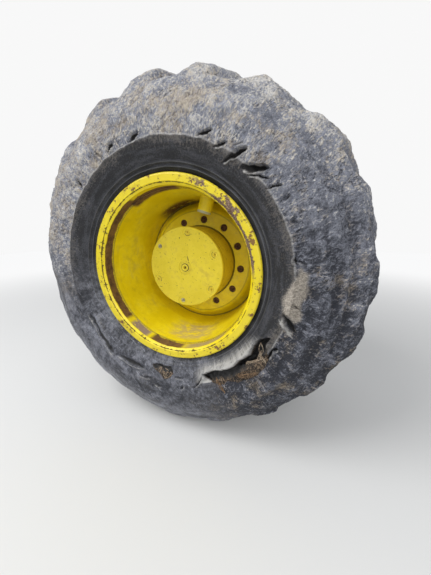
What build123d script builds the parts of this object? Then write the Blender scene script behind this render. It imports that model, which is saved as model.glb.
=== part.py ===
# Front bogie wheel of a forestry forwarder, with the hub and the spindle that carry it.
# Sizes are in millimetres. The axle line is Y, the outer face of the wheel looks towards -Y
# and Z is up. The origin is the centre of the spindle flange's mounting face.
# Angles about the axle are seen from the outer face: 0 is +X (right), 90 is up.

import os
from math import atan, cos, degrees, radians, sin, tan

from build123d import *

os.makedirs("parts", exist_ok=True)

# Driving sizes of the rim
mount_to_lip = 580
rim_width = 670
seat_radius = 336.5
seat_taper = 5
flange_height = 31.5
flange_thickness = 17.5
flange_face_width = 30
flange_heel = 8
section_length = 58
section_wall = 10.5
barrel_wall = 11.5
barrel_step = 4.5
bend_depth = 95
well_drop = 33.5
well_width = 140

# Disc, its bolts and the valve
disc_depth = 313
disc_thickness = 24
disc_edge_thickness = 30
disc_margin = 22
disc_dish = 52
disc_bend = 30
bolt_count = 12
bolt_margin = 27.5
bolt_radius = 11
bolt_head_radius = 16.5
bolt_head_height = 11
bolt_socket = 8
bolt_socket_depth = 6.6
bolt_first_angle = 24
bolt_hole_radius = 12
bolt_sink_radius = 18
bolt_sink_depth = 15
bolt_length = 44
valve_angle = 73.4
valve_depth = 200
valve_radius = 7
valve_nut_radius = 14
valve_recess = 13
guard_radius = 30
guard_wall = 5
guard_length = 58

# Hub, which turns with the rim
cover_depth = 143.5
cover_thickness = 22
cover_edge = 3
cover_spigot = 8
drum_radius = 178
drum_wall = 36
hub_flange_margin = 27.5
hub_flange_thickness = 30
pilot_step = 7
pilot_height = 8
spigot_height = 14
housing_wall = 15
housing_flare = 20
housing_gap = 27
screw_count = 6
screw_margin = 23
screw_first_angle = 24
screw_radius = 6
screw_head_radius = 9.5
screw_head_height = 12
screw_socket = 5
screw_socket_depth = 7.2
screw_length = 34
spot_radius = 23
spot_depth = 2
plug_radius = 16
plug_thread_radius = 13
plug_height = 2.5
plug_socket = 7
plug_socket_depth = 13.2
plug_groove_radius = 31
plug_groove_width = 3
gear_gap = 25

# Spindle, which stands still
spindle_flange_radius = 200
spindle_flange_thickness = 35
mount_count = 16
mount_margin = 25
mount_hole_radius = 11
register_radius = 110
register_depth = 10
spindle_bore = 42
front_journal_radius = 70
rear_journal_radius = 85
thread_step = 8
shoulder_step = 20
shoulder_length = 88
front_bearing_width = 45
rear_bearing_width = 52
front_bearing_section = 40
rear_bearing_section = 45
bearing_lip = 12
nut_section = 26
nut_thickness = 24
nose_length = 4
seal_width = 18
guard_ring_gap = 6
guard_ring_wall = 7
guard_ring_length = 26

# Tyre, as worn
tyre_radius = 735
wall_bulge = 45
widest_drop = 195
lower_wall_rise = 6
lower_wall_depth = 12
bead_top = 6
upper_wall_arc = 140
upper_wall_turn = 33
crown_drop = 21.5
tread_inset = 85.5
shoulder_round = 55
lug_height = 30
lug_sink = 6
lug_draft = 6
groove_share = 0.45
wall_thickness = 26
crown_thickness = 42
inner_round = 108
bead_length = 50
bead_height = 40
bead_slant = 12
lug_pitches = 19
lug_angle = 35
lug_width = 112
lug_first_angle = 21.4
lug_over_centre = 18

# Torn pockets in the tyre's outer wall. Each has its depth below the wall and the corners of its
# torn edge, first along the side by the rim and then back: height above the rim's lip and angle.
tears = (
    (
        12,
        ((60, -70), (64, -52), (63, -36), (69, -29), (86, -27.5)),
        ((114, -31), (102, -44), (98, -54), (88, -70)),
    ),
    (
        22,
        ((68, -42), (63, -35), (69, -30), (86, -28.5)),
        ((98, -34), (84, -42)),
    ),
    (
        14,
        ((104, 65), (124, 57), (112, 50), (130, 46), (136, 37)),
        ((114, 35), (108, 41), (114, 47), (100, 54)),
    ),
    (
        14,
        ((30, -93), (31, -100)),
        ((52, -99), (50, -94)),
    ),
)
tear_clearance = 30

# Clearances: pieces that are fixed to each other, and pieces that turn on each other
seat_gap = 0.3
running_gap = 0.5

# Radii of what fits on, in or around another piece
lip_radius = seat_radius + flange_height
well_radius = seat_radius - well_drop
disc_bore = drum_radius + pilot_step
bolt_circle = disc_bore + bolt_margin
hub_flange_radius = bolt_circle + hub_flange_margin
disc_flat_radius = hub_flange_radius + disc_margin
guard_end_radius = well_radius - guard_length
valve_end_radius = guard_end_radius + valve_recess
screw_circle = drum_radius - screw_margin
front_bearing_radius = front_journal_radius + front_bearing_section
rear_bearing_radius = rear_journal_radius + rear_bearing_section
housing_rear_radius = rear_bearing_radius + housing_wall
housing_front_radius = housing_rear_radius + housing_flare
nose_radius = front_journal_radius - thread_step
nut_radius = nose_radius + nut_section
shoulder_radius = rear_journal_radius + shoulder_step
guard_ring_radius = housing_rear_radius + guard_ring_gap
mount_circle = spindle_flange_radius - mount_margin
widest_radius = tyre_radius - widest_drop
lower_wall_radius = lip_radius + lower_wall_rise

# Places along the axle
lip_y = -mount_to_lip
rim_middle_y = lip_y + rim_width / 2
disc_face_y = lip_y + disc_depth
disc_back_y = disc_face_y + disc_thickness
cover_face_y = lip_y + cover_depth
cover_back_y = cover_face_y + cover_thickness
pilot_y = disc_back_y - pilot_height
spigot_y = pilot_y - spigot_height
hub_flange_back_y = disc_back_y + hub_flange_thickness
housing_end_y = -spindle_flange_thickness - housing_gap
shoulder_y = -shoulder_length
rear_bearing_y = shoulder_y - rear_bearing_width
front_bearing_y = disc_back_y
nut_back_y = front_bearing_y
nut_front_y = nut_back_y - nut_thickness
nose_y = nut_front_y - nose_length
gear_start_y = cover_back_y + cover_spigot
gear_end_y = nose_y - gear_gap


def radial(angle):
    """Direction away from the axle at an angle seen from the outer face."""
    return Vector(cos(radians(angle)), 0, sin(radians(angle)))


def section_plane(y=0.0):
    """Plane through the axle: local x runs along the axle, local y away from it."""
    return Plane(origin=(0, y, 0), x_dir=(0, 1, 0), z_dir=(1, 0, 0))


def face_plane(y):
    """Plane across the axle at y that looks towards the outer face, local x to the right."""
    return Plane(origin=(0, y, 0), x_dir=(1, 0, 0), z_dir=(0, -1, 0))


def radial_plane(y, angle):
    """Plane through the axle at y whose normal points away from the axle at the angle."""
    return Plane(origin=(0, y, 0), x_dir=(0, 1, 0), z_dir=radial(angle))


def save(piece, name):
    """Label a finished piece and write it under its name."""
    piece.part.label = name
    export_step(piece.part, f"parts/{name}.step")


# Rim. The flange sections are rolled rings that hold the tyre's beads, one at each side of
# the barrel. Their places are given from the rim's middle, outwards.
rim_half = rim_width / 2
seat_start = rim_half - flange_thickness - flange_heel
section_end = rim_half - section_length
bend_half = rim_half - bend_depth
section_inner = seat_radius - section_wall
section_seat = seat_radius - (seat_start - section_end) * tan(radians(seat_taper))
heel_radius = lip_radius - flange_face_width

with BuildPart() as rim_flange_outer:
    with BuildSketch(section_plane(rim_middle_y)):
        with BuildLine():
            lip = flange_thickness / 2
            Line((-section_end, section_inner), (-rim_half + heel_radius - section_inner, section_inner))
            Line((-rim_half + heel_radius - section_inner, section_inner), (-rim_half, heel_radius))
            Line((-rim_half, heel_radius), (-rim_half, lip_radius - lip))
            ThreePointArc(
                (-rim_half, lip_radius - lip),
                (-rim_half + lip, lip_radius),
                (-rim_half + flange_thickness, lip_radius - lip),
            )
            Line(
                (-rim_half + flange_thickness, lip_radius - lip),
                (-rim_half + flange_thickness, seat_radius + flange_heel),
            )
            RadiusArc(
                (-rim_half + flange_thickness, seat_radius + flange_heel),
                (-seat_start, seat_radius),
                -flange_heel,
            )
            Line((-seat_start, seat_radius), (-section_end, section_seat))
            Line((-section_end, section_seat), (-section_end, section_inner))
        make_face()
    revolve(axis=Axis.Y)

with BuildPart() as rim_flange_inner:
    add(mirror(rim_flange_outer.part, about=Plane.XZ.offset(-rim_middle_y), mode=Mode.PRIVATE))

save(rim_flange_outer, "rim_flange_outer")
save(rim_flange_inner, "rim_flange_inner")

# The barrel runs between the flange sections and falls to a well in the middle, where the
# disc is welded in. The valve's hole goes through its outer half.
barrel_end_inner = section_inner - barrel_step
bend_seat = section_seat - (section_end - bend_half) * tan(radians(seat_taper))
well_half = well_width / 2
valve_y = lip_y + valve_depth

with BuildPart() as rim_barrel:
    with BuildSketch(section_plane(rim_middle_y)):
        with BuildLine():
            Polyline(
                (0, well_radius),
                (well_half, well_radius),
                (bend_half, barrel_end_inner),
                (section_end, barrel_end_inner),
                (section_end, section_seat),
                (bend_half, bend_seat),
                (well_half, well_radius + barrel_wall),
                (0, well_radius + barrel_wall),
            )
            mirror(about=Plane.YZ)
        make_face()
    revolve(axis=Axis.Y)
    with BuildSketch(radial_plane(valve_y, valve_angle).offset(guard_end_radius)):
        Circle(valve_radius + seat_gap)
    extrude(amount=lip_radius - guard_end_radius, mode=Mode.SUBTRACT)

save(rim_barrel, "rim_barrel")

# The disc is flat where it is bolted on and dished inwards to the well.
disc_edge_radius = well_radius - seat_gap
dish_y = disc_face_y + disc_dish

with BuildPart() as rim_disc:
    with BuildSketch(section_plane()) as disc_section:
        with BuildLine():
            Polyline(
                (disc_face_y, disc_bore),
                (disc_face_y, disc_flat_radius),
                (dish_y, disc_edge_radius),
                (dish_y + disc_edge_thickness, disc_edge_radius),
                (disc_back_y, disc_flat_radius),
                (disc_back_y, disc_bore),
                close=True,
            )
        make_face()
        bends = [corner for corner in disc_section.vertices() if abs(corner.Y - disc_flat_radius) < 1]
        fillet(bends, disc_bend)
    revolve(axis=Axis.Y)
    with Locations(face_plane(disc_face_y)):
        with PolarLocations(bolt_circle, bolt_count, start_angle=bolt_first_angle):
            CounterBoreHole(bolt_hole_radius, bolt_sink_radius, bolt_sink_depth)

save(rim_disc, "rim_disc")

# Twelve socket-headed bolts lie sunk in the disc and go into the hub flange.
bolt_seat_y = disc_face_y + bolt_sink_depth

with BuildPart() as wheel_bolts:
    with BuildSketch(face_plane(bolt_seat_y)):
        with PolarLocations(bolt_circle, bolt_count, start_angle=bolt_first_angle):
            Circle(bolt_head_radius)
    extrude(amount=bolt_head_height)
    with BuildSketch(face_plane(bolt_seat_y)):
        with PolarLocations(bolt_circle, bolt_count, start_angle=bolt_first_angle):
            Circle(bolt_radius)
    extrude(amount=-bolt_length)
    with BuildSketch(face_plane(bolt_seat_y - bolt_head_height)):
        with PolarLocations(bolt_circle, bolt_count, start_angle=bolt_first_angle):
            RegularPolygon(bolt_socket, 6)
    extrude(amount=-bolt_socket_depth, mode=Mode.SUBTRACT)

save(wheel_bolts, "wheel_bolts")

# The valve stands in the well's slope, inside a short guard tube that is welded to the barrel.
slope = (barrel_end_inner - well_radius) / (bend_half - well_half)
valve_out = rim_half - valve_depth
valve_root = well_radius + max(valve_out - well_half, 0) * slope

with BuildPart() as valve_guard:
    with BuildSketch(radial_plane(valve_y, valve_angle).offset(guard_end_radius)):
        Circle(guard_radius)
        Circle(guard_radius - guard_wall, mode=Mode.SUBTRACT)
    extrude(amount=lip_radius - guard_end_radius)
    with BuildSketch(section_plane(rim_middle_y)):
        with BuildLine():
            Polyline(
                (-well_half, well_radius - seat_gap),
                (-bend_half, barrel_end_inner - seat_gap),
                (-bend_half, lip_radius + barrel_wall),
                (-well_half, lip_radius + barrel_wall),
                close=True,
            )
        make_face()
    revolve(axis=Axis.Y, mode=Mode.SUBTRACT)

save(valve_guard, "valve_guard")

with BuildPart() as valve_stem:
    with BuildSketch(radial_plane(valve_y, valve_angle).offset(valve_end_radius)):
        Circle(valve_radius)
    extrude(amount=valve_root + barrel_wall - valve_end_radius)
    nut_base = valve_root - seat_gap - guard_radius * slope
    with BuildSketch(radial_plane(valve_y, valve_angle).offset(nut_base)):
        RegularPolygon(valve_nut_radius, 6)
    extrude(amount=-valve_radius)

save(valve_stem, "valve_stem")

# Hub body. Its flange carries the disc, its housing holds the two bearings.
with BuildPart() as hub_body:
    spigot_outer = drum_radius - drum_wall - seat_gap
    with BuildSketch(section_plane()) as hub_section:
        with BuildLine():
            Polyline(
                (spigot_y, front_bearing_radius),
                (spigot_y, spigot_outer),
                (pilot_y, spigot_outer),
                (pilot_y, disc_bore - seat_gap),
                (disc_back_y, disc_bore - seat_gap),
                (disc_back_y, hub_flange_radius),
                (hub_flange_back_y, hub_flange_radius),
                (hub_flange_back_y, housing_front_radius),
                (housing_end_y, housing_rear_radius),
                (housing_end_y, rear_bearing_radius),
                (rear_bearing_y, rear_bearing_radius),
                (rear_bearing_y, front_bearing_radius - bearing_lip),
                (front_bearing_y + front_bearing_width, front_bearing_radius - bearing_lip),
                (front_bearing_y + front_bearing_width, front_bearing_radius),
                close=True,
            )
        make_face()
    revolve(axis=Axis.Y)
    with Locations(face_plane(disc_back_y)):
        with PolarLocations(bolt_circle, bolt_count, start_angle=bolt_first_angle):
            Hole(bolt_radius + seat_gap, depth=hub_flange_thickness)

save(hub_body, "hub_body")

# Hub drum, which passes through the disc and is closed by the cover.
drum_bore = drum_radius - drum_wall

with BuildPart() as hub_drum:
    with BuildSketch(face_plane(pilot_y)):
        Circle(drum_radius)
        Circle(drum_bore, mode=Mode.SUBTRACT)
    extrude(amount=pilot_y - cover_back_y)
    with BuildSketch(face_plane(cover_back_y)):
        with PolarLocations(screw_circle, screw_count, start_angle=screw_first_angle):
            Circle(screw_radius + seat_gap)
    extrude(amount=-screw_length, mode=Mode.SUBTRACT)

save(hub_drum, "hub_drum")

with BuildPart() as hub_cover:
    with BuildSketch(face_plane(cover_back_y)):
        Circle(drum_radius)
    extrude(amount=cover_thickness)
    chamfer(hub_cover.faces().sort_by(Axis.Y)[0].edges(), cover_edge)
    with BuildSketch(face_plane(cover_back_y)):
        Circle(drum_bore - seat_gap)
    extrude(amount=-cover_spigot)
    with Locations(face_plane(cover_face_y)):
        with PolarLocations(screw_circle, screw_count, start_angle=screw_first_angle):
            CounterBoreHole(screw_radius + seat_gap, screw_head_radius + 1, screw_head_height + 2)
    with BuildSketch(face_plane(cover_face_y)):
        with PolarLocations(screw_circle, screw_count, start_angle=screw_first_angle):
            Circle(spot_radius)
    extrude(amount=-spot_depth, mode=Mode.SUBTRACT)
    with BuildSketch(face_plane(cover_face_y)):
        Circle(plug_groove_radius)
        Circle(plug_groove_radius - plug_groove_width, mode=Mode.SUBTRACT)
        Circle(plug_thread_radius + seat_gap)
    extrude(amount=-spot_depth, mode=Mode.SUBTRACT)
    with Locations(face_plane(cover_face_y)):
        Hole(plug_thread_radius + seat_gap, depth=cover_thickness + cover_spigot)

save(hub_cover, "hub_cover")

with BuildPart() as cover_screws:
    screw_seat_y = cover_face_y + screw_head_height + 2
    with BuildSketch(face_plane(screw_seat_y)):
        with PolarLocations(screw_circle, screw_count, start_angle=screw_first_angle):
            Circle(screw_head_radius)
    extrude(amount=screw_head_height)
    with BuildSketch(face_plane(screw_seat_y)):
        with PolarLocations(screw_circle, screw_count, start_angle=screw_first_angle):
            Circle(screw_radius)
    extrude(amount=-screw_length)
    with BuildSketch(face_plane(screw_seat_y - screw_head_height)):
        with PolarLocations(screw_circle, screw_count, start_angle=screw_first_angle):
            RegularPolygon(screw_socket, 6)
    extrude(amount=-screw_socket_depth, mode=Mode.SUBTRACT)

save(cover_screws, "cover_screws")

with BuildPart() as centre_plug:
    with BuildSketch(face_plane(cover_face_y)):
        Circle(plug_radius)
    extrude(amount=plug_height)
    with BuildSketch(face_plane(cover_face_y)):
        Circle(plug_thread_radius)
    extrude(amount=-cover_thickness)
    with BuildSketch(face_plane(cover_face_y - plug_height)):
        Circle(plug_socket)
    extrude(amount=-plug_socket_depth, mode=Mode.SUBTRACT)

save(centre_plug, "centre_plug")

# The reduction gear is closed inside the drum, so it is one plain block of its size.
with BuildPart() as gear_block:
    with BuildSketch(face_plane(gear_start_y)):
        Circle(drum_bore - seat_gap)
    extrude(amount=gear_start_y - gear_end_y)

save(gear_block, "gear_block")

# Bearings, which turn with the hub on the spindle's journals, and the seal behind them.
with BuildPart() as bearing_front:
    with BuildSketch(face_plane(front_bearing_y)):
        Circle(front_bearing_radius - seat_gap)
        Circle(front_journal_radius + running_gap, mode=Mode.SUBTRACT)
    extrude(amount=-front_bearing_width)

save(bearing_front, "bearing_front")

with BuildPart() as bearing_rear:
    with BuildSketch(face_plane(rear_bearing_y)):
        Circle(rear_bearing_radius - seat_gap)
        Circle(rear_journal_radius + running_gap, mode=Mode.SUBTRACT)
    extrude(amount=-rear_bearing_width + running_gap)

save(bearing_rear, "bearing_rear")

with BuildPart() as seal_ring:
    with BuildSketch(face_plane(shoulder_y + seal_width + running_gap)):
        Circle(rear_bearing_radius - seat_gap)
        Circle(shoulder_radius + running_gap, mode=Mode.SUBTRACT)
    extrude(amount=seal_width)

save(seal_ring, "seal_ring")

# Spindle, from the mounting flange to the thread at its nose.
with BuildPart() as spindle:
    with BuildSketch(section_plane()) as spindle_section:
        with BuildLine():
            Polyline(
                (nose_y, spindle_bore),
                (nose_y, nose_radius),
                (nut_back_y, nose_radius),
                (nut_back_y, front_journal_radius),
                (front_bearing_y + front_bearing_width, front_journal_radius),
                (rear_bearing_y, rear_journal_radius),
                (shoulder_y, rear_journal_radius),
                (shoulder_y, shoulder_radius),
                (-spindle_flange_thickness, shoulder_radius),
                (-spindle_flange_thickness, spindle_flange_radius),
                (0, spindle_flange_radius),
                (0, register_radius),
                (-register_depth, register_radius),
                (-register_depth, spindle_bore),
                close=True,
            )
        make_face()
    revolve(axis=Axis.Y)
    with Locations(face_plane(-spindle_flange_thickness)):
        with PolarLocations(mount_circle, mount_count):
            Hole(mount_hole_radius, depth=spindle_flange_thickness)

save(spindle, "spindle")

with BuildPart() as spindle_nut:
    with BuildSketch(face_plane(nut_back_y)):
        Circle(nut_radius)
        Circle(nose_radius + seat_gap, mode=Mode.SUBTRACT)
    extrude(amount=nut_thickness)

save(spindle_nut, "spindle_nut")

with BuildPart() as seal_guard:
    with BuildSketch(face_plane(-spindle_flange_thickness)):
        Circle(guard_ring_radius + guard_ring_wall)
        Circle(guard_ring_radius, mode=Mode.SUBTRACT)
    extrude(amount=guard_ring_length)

save(seal_guard, "seal_guard")

# Tyre. Its section is drawn from its middle, outwards, and mirrored. The carcass reaches to
# the floor of the tread's grooves, and the lugs stand on it.
half_width = rim_half + wall_bulge
tread_half = half_width - tread_inset
wall_turn = radians(upper_wall_turn)
wall_top = Vector(
    half_width - upper_wall_arc * (1 - cos(wall_turn)),
    widest_radius + upper_wall_arc * sin(wall_turn),
)
shoulder_point = Vector(tread_half, tyre_radius - crown_drop)
groove_start = wall_top + (shoulder_point - wall_top) * groove_share
floor_point = shoulder_point - Vector(lug_height, lug_height)
floor_crown = tyre_radius - lug_height
bead_face = rim_half - flange_thickness - seat_gap
bead_base = seat_radius + seat_gap
bead_toe = bead_face - bead_length
toe_base = bead_base - (seat_start - bead_toe) * tan(radians(seat_taper))
lower_point = (rim_half - lower_wall_depth, lower_wall_radius)
inner_half = half_width - wall_thickness
inner_shoulder = (inner_half - inner_round, widest_radius + inner_round)

# One lug of the outer row: the band between the groove's floor and the worn surface, cut to a
# slanting bar with drafted sides. It is sunk a little into the carcass that it is fused to.
bar_start = -half_width
bar_end = lug_over_centre
bar_middle = (bar_start + bar_end) / 2
bar_lean = tan(radians(lug_angle))
bar_half = lug_width / cos(radians(lug_angle)) / 2
bar_shift = (bar_end - bar_middle) * bar_lean
shoulder_shift = (tread_half + bar_middle) * bar_lean
pitch_angle = 360 / lug_pitches
bar_angle = lug_first_angle - degrees(atan(shoulder_shift / shoulder_point.Y))
bar_foot = groove_start.Y - 2 * lug_sink
sunk = Vector(lug_sink, lug_sink)

with BuildPart() as lug:
    with BuildSketch(radial_plane(rim_middle_y, bar_angle).offset(bar_foot)):
        with BuildLine():
            Polyline(
                (bar_start, bar_shift - bar_half),
                (bar_end, -bar_shift - bar_half),
                (bar_end, -bar_shift + bar_half),
                (bar_start, bar_shift + bar_half),
                close=True,
            )
        make_face()
    extrude(amount=tyre_radius - bar_foot + lug_height, taper=lug_draft)
    with BuildSketch(section_plane(rim_middle_y)) as band:
        with BuildLine():
            Polyline(
                tuple(floor_point - sunk)[:2],
                tuple(groove_start - sunk)[:2],
                tuple(groove_start)[:2],
                tuple(shoulder_point)[:2],
            )
            mirror(about=Plane.YZ)
            ThreePointArc(
                (-shoulder_point.X, shoulder_point.Y), (0, tyre_radius), (shoulder_point.X, shoulder_point.Y)
            )
            ThreePointArc(
                (-floor_point.X + lug_sink, floor_point.Y - lug_sink),
                (0, floor_crown - lug_sink),
                (floor_point.X - lug_sink, floor_point.Y - lug_sink),
            )
        make_face()
        fillet(band.vertices().group_by(Axis.Y)[-1], shoulder_round)
    revolve(axis=Axis.Y, mode=Mode.INTERSECT)


def tear(depth, near_side, far_side):
    """What is torn out of the outer wall: a ragged outline, as deep everywhere below the wall."""
    outside = -half_width - tear_clearance
    with BuildPart() as pocket:
        with BuildSketch(face_plane(rim_middle_y + outside)):
            with BuildLine():
                edge = [radial(angle) * (lip_radius + height) for height, angle in near_side + far_side]
                Polyline([(point.X, point.Z) for point in edge], close=True)
            make_face()
        extrude(amount=-rim_half)
        with BuildSketch(section_plane(rim_middle_y)):
            with BuildLine():
                floor_top = (depth - half_width, widest_radius)
                floor_foot = (depth - lower_point[0], lower_point[1])
                TangentArc(floor_top, floor_foot, tangent=(0, -1))
                upper_floor = JernArc(floor_top, (0, 1), upper_wall_arc, -upper_wall_turn)
                floor_end = upper_floor @ 1
                Polyline(floor_foot, (outside, floor_foot[1]), (outside, floor_end.Y), tuple(floor_end)[:2])
            make_face()
        revolve(axis=Axis.Y, mode=Mode.INTERSECT)
    return pocket.part


with BuildPart() as tyre:
    with BuildSketch(section_plane(rim_middle_y)):
        with BuildLine():
            Line(tuple(floor_point)[:2], tuple(groove_start)[:2])
            Line(tuple(groove_start)[:2], tuple(wall_top)[:2])
            JernArc((half_width, widest_radius), (0, 1), upper_wall_arc, upper_wall_turn)
            TangentArc((half_width, widest_radius), lower_point, tangent=(0, -1))
            Polyline(lower_point, (bead_face, lip_radius - bead_top), (bead_face, bead_base + flange_heel))
            RadiusArc((bead_face, bead_base + flange_heel), (bead_face - flange_heel, bead_base), flange_heel)
            Polyline(
                (bead_face - flange_heel, bead_base),
                (bead_toe, toe_base),
                (bead_toe + bead_slant, toe_base + bead_height),
            )
            TangentArc(
                (inner_half, widest_radius), (bead_toe + bead_slant, toe_base + bead_height), tangent=(0, -1)
            )
            JernArc((inner_half, widest_radius), (0, 1), inner_round, 90)
            mirror(about=Plane.YZ)
            ThreePointArc(
                (-floor_point.X, floor_point.Y), (0, floor_crown), (floor_point.X, floor_point.Y)
            )
            ThreePointArc(
                (-inner_shoulder[0], inner_shoulder[1]),
                (0, floor_crown - crown_thickness),
                inner_shoulder,
            )
        make_face()
    revolve(axis=Axis.Y)
    outer_lugs = [lug.part.rotate(Axis.Y, -pitch_angle * step) for step in range(lug_pitches)]
    middle_plane = Plane.XZ.offset(-rim_middle_y)
    inner_lugs = [mirror(one, about=middle_plane, mode=Mode.PRIVATE) for one in outer_lugs]
    add(outer_lugs)
    add([one.rotate(Axis.Y, -pitch_angle / 2) for one in inner_lugs])
    add([tear(*row) for row in tears], mode=Mode.SUBTRACT)

save(tyre, "tyre")
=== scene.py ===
# Looks of a worn forestry wheel. The wheel's axle is Y, its outer face looks towards -Y and Z is
# up. Lengths are metres. Angles about the axle are seen from the outer face: 0 is right, 90 is up.

import math

import bpy
import numpy as np
from mathutils import Matrix, Vector, noise


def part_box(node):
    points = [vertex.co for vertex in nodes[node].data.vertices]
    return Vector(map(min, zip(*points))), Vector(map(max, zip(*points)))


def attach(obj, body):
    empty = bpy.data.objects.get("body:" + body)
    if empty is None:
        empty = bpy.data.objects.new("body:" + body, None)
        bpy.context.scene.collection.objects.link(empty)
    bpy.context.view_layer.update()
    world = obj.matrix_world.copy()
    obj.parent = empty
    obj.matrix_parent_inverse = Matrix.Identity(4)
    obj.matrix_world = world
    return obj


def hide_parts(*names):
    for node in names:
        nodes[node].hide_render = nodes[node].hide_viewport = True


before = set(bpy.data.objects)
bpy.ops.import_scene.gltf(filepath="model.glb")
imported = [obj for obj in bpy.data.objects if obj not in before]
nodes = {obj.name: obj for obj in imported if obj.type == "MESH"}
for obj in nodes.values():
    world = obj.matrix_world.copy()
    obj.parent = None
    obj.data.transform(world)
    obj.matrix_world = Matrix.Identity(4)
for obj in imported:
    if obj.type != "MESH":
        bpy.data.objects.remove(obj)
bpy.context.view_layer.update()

# Camera: it stands low and close beside the wheel, a little to the right of the axle, and looks
# slightly down and to the left through a wide lens.
rim_low, rim_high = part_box("rim_flange_outer")
lip_y = rim_low.y
lip_radius = rim_high.z
camera_data = bpy.data.cameras.new("camera")
camera_data.lens = 15.06
camera_data.sensor_width = 36.0
camera = bpy.data.objects.new("camera", camera_data)
# The columns are the directions of its right, its up and its back, and then its place.
camera.matrix_world = Matrix(
    (
        (0.9394, -0.0843, 0.3324, 0.4927),
        (0.3429, 0.2308, -0.9106, lip_y - 0.8099),
        (0.0, 0.9693, 0.2457, 0.1778),
        (0.0, 0.0, 0.0, 1.0),
    )
)
camera_data.clip_start = 0.05
bpy.context.scene.collection.objects.link(camera)
bpy.context.scene.camera = camera

# Tyre: one moulded carcass of black rubber, blown up on the rim's two seats. Years of stone and
# stump have ground its outer wall rough, rounded its lugs and torn pockets into the wall.


class Tone:
    """A socket in one node tree. Arithmetic on it adds Math nodes to the tree."""

    def __init__(self, tree, socket=None):
        self.tree = tree
        self.socket = socket

    def node(self, kind, settings=None, values=None, out=0):
        """Adds a node, sets it, then gives its sockets values or links, and wraps one output."""
        made = self.tree.nodes.new(kind)
        for key, value in (settings or {}).items():
            setattr(made, key, value)
        for key, value in (values or {}).items():
            if isinstance(value, Tone):
                self.tree.links.new(value.socket, made.inputs[key])
            else:
                made.inputs[key].default_value = value
        return Tone(self.tree, made.outputs[out])

    def math(self, operation, *values):
        return self.node("ShaderNodeMath", {"operation": operation}, dict(enumerate(values)))

    def __add__(self, other):
        return self.math("ADD", self, other)

    def __sub__(self, other):
        return self.math("SUBTRACT", self, other)

    def __mul__(self, other):
        return self.math("MULTIPLY", self, other)

    def __truediv__(self, other):
        return self.math("DIVIDE", self, other)

    def __rsub__(self, other):
        return self.math("SUBTRACT", other, self)

    def __rtruediv__(self, other):
        return self.math("DIVIDE", other, self)

    __radd__ = __add__
    __rmul__ = __mul__

    def larger(self, other):
        return self.math("MAXIMUM", self, other)

    def ease(self, low, high):
        """0 below low and 1 above high, smooth between; high may be the smaller of the two."""
        values = {"Value": self, "From Min": low, "From Max": high}
        return self.node("ShaderNodeMapRange", {"interpolation_type": "SMOOTHSTEP"}, values)

    def mix(self, under, over):
        """Colour under where this mask is 0, colour over where it is 1."""
        return self.node("ShaderNodeMix", {"data_type": "RGBA"}, {0: self, 6: under, 7: over}, 2)


class Finish(Tone):
    """A new material, with the places on the object that its patterns need."""

    def __init__(self, name):
        self.material = bpy.data.materials.new(name)
        self.material.use_nodes = True
        super().__init__(self.material.node_tree)
        self.shader = self.tree.nodes["Principled BSDF"]
        self.place = self.node("ShaderNodeTexCoord", out="Object")
        self.x = self.node("ShaderNodeSeparateXYZ", None, {0: self.place}, "X")
        self.y = self.node("ShaderNodeSeparateXYZ", None, {0: self.place}, "Y")
        self.z = self.node("ShaderNodeSeparateXYZ", None, {0: self.place}, "Z")
        self.radius = self.math("SQRT", self.x * self.x + self.z * self.z)
        self.angle = self.math("ARCTAN2", self.z, self.x)

    def noise(self, scale, detail, roughness, long=(1.0, 1.0, 1.0), turn=0.0, shift=0.0):
        """Noise of scale waves a metre. Long makes it longer along an axis, turned about Y."""
        settings = {"vector_type": "TEXTURE"}
        values = {"Vector": self.place, "Location": (shift, shift, shift), "Scale": long,
                  "Rotation": (0.0, math.radians(turn), 0.0)}
        place = self.node("ShaderNodeMapping", settings, values)
        values = {"Vector": place, "Scale": scale, "Detail": detail, "Roughness": roughness}
        return self.node("ShaderNodeTexNoise", None, values)

    def streaks(self, around, out, detail, roughness, shift=0.0):
        """Noise that runs round the axle, with its waves a radian round and its waves a metre out."""
        values = {0: self.x / self.radius * around, 1: self.radius * out + self.y * out + shift,
                  2: self.z / self.radius * around}
        place = self.node("ShaderNodeCombineXYZ", None, values)
        values = {"Vector": place, "Scale": 1.0, "Detail": detail, "Roughness": roughness}
        return self.node("ShaderNodeTexNoise", None, values)

    def marks(self, name):
        """The three channels of one of the mesh's colour attributes."""
        colour = self.node("ShaderNodeAttribute", {"attribute_name": name}, out="Color")
        split = self.node("ShaderNodeSeparateColor", None, {0: colour}).socket.node
        return [Tone(self.tree, channel) for channel in split.outputs]

    def arc(self, start, end, soft):
        """1 between two angles in degrees, counted anticlockwise, with soft ends."""
        middle = math.radians((start + end) / 2)
        half = (end - start) / 2
        across = self.math("COSINE", self.angle - middle)
        return across.ease(math.cos(math.radians(half + soft)), math.cos(math.radians(half - soft)))

    def ring(self, low, high, soft):
        """1 between two radii, with soft edges."""
        return self.radius.ease(low - soft, low + soft) * self.radius.ease(high + soft, high - soft)

    def set(self, socket, value):
        if isinstance(value, Tone):
            self.tree.links.new(value.socket, self.shader.inputs[socket])
        else:
            self.shader.inputs[socket].default_value = value

    def bump(self, height, distance, strength, under=None):
        """A normal that is bumped by a height, on top of another bump's normal if one is given."""
        values = {"Height": height, "Distance": distance, "Strength": strength}
        if under is not None:
            values["Normal"] = under
        return self.node("ShaderNodeBump", None, values)


def paint(red, green, blue):
    """Linear RGBA of the colour, 0 to 255, that the eye reads off the object."""
    return tuple(((level / 255 + 0.055) / 1.055) ** 2.4 for level in (red, green, blue)) + (1.0,)


def between(value, low, high):
    """0 below low and 1 above high, smooth between."""
    share = np.clip((value - low) / (high - low), 0.0, 1.0)
    return share * share * (3 - 2 * share)


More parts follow.
